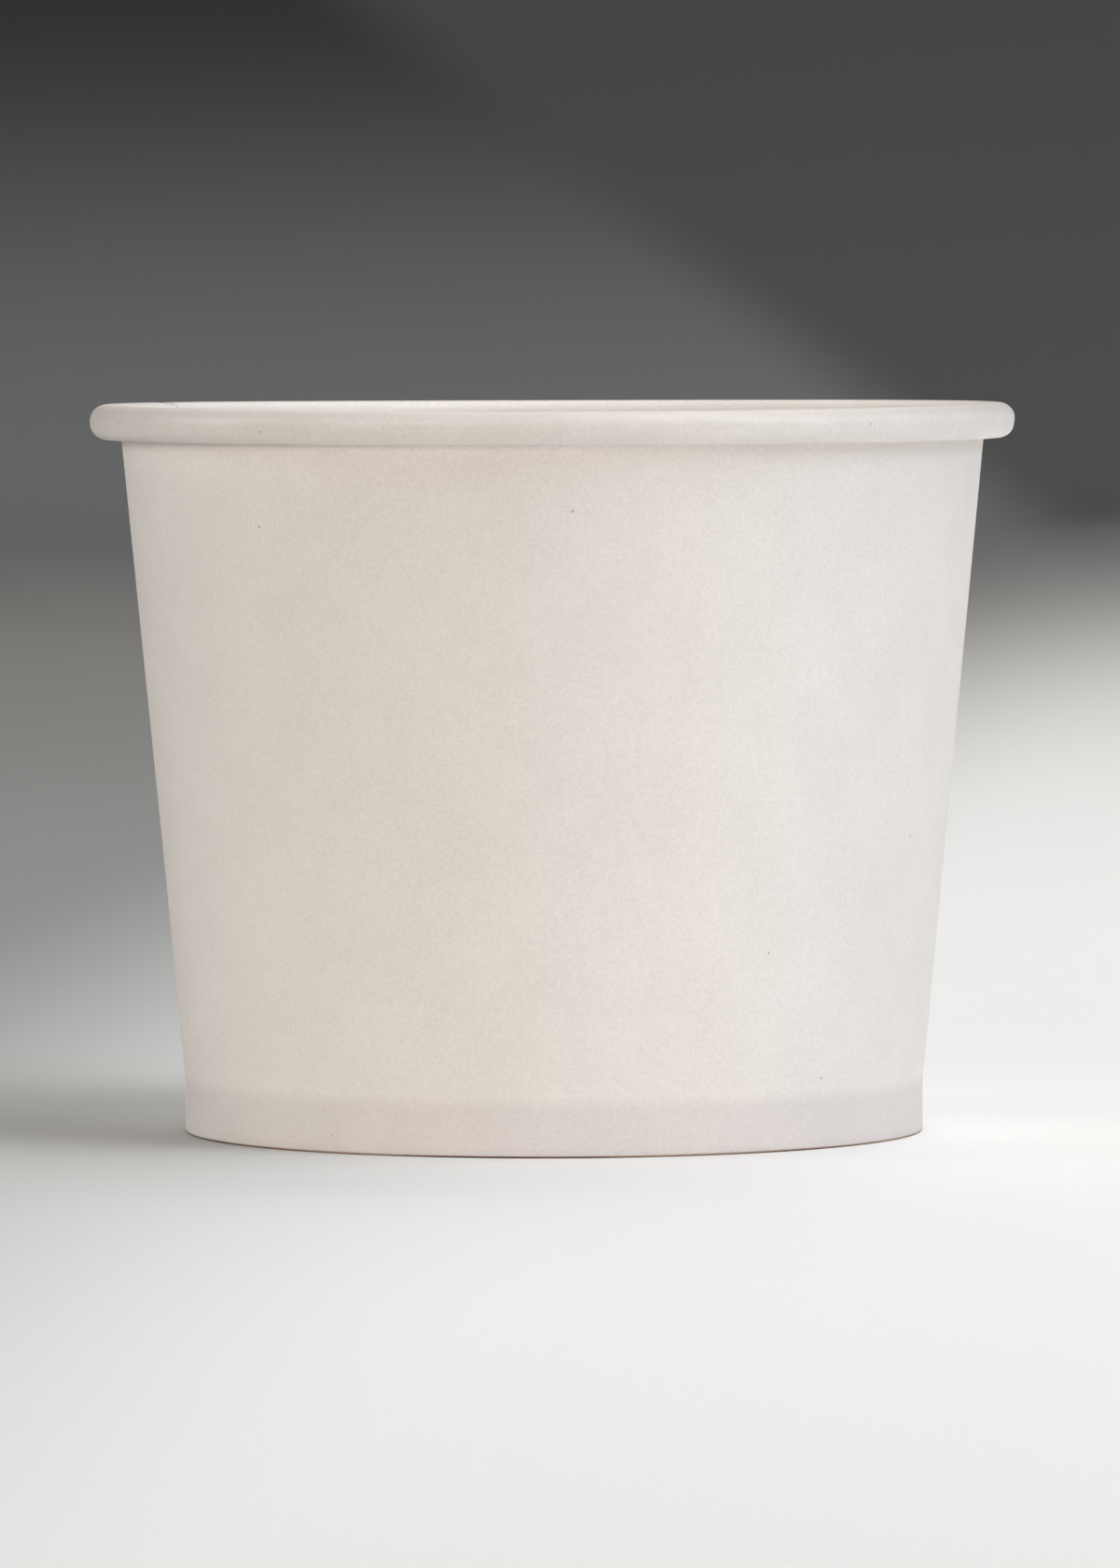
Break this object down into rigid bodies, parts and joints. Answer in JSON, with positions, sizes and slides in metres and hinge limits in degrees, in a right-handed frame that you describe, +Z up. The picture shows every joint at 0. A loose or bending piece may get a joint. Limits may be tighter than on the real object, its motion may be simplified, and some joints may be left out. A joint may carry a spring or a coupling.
{
  "type": "paper sundae cup",
  "caption": "Open round paper tub with a slightly tapered wall, a rolled rim that takes a push-on lid, and a recessed base, for ice cream and desserts.",
  "frame": {"origin": "centre of the foot, on the surface that the cup stands on", "axes": "+Z up along the cup's axis, towards the open rim; +Y towards the back, where the side seam lies to the left"},
  "size_m": [0.097, 0.097, 0.0763],
  "materials": {
    "cup_board": "matte",
    "base_board": "matte"
  },
  "bodies": {
    "root": {"side_wall": "cup_board", "bottom_disc": "base_board"}
  },
  "joints": []
}
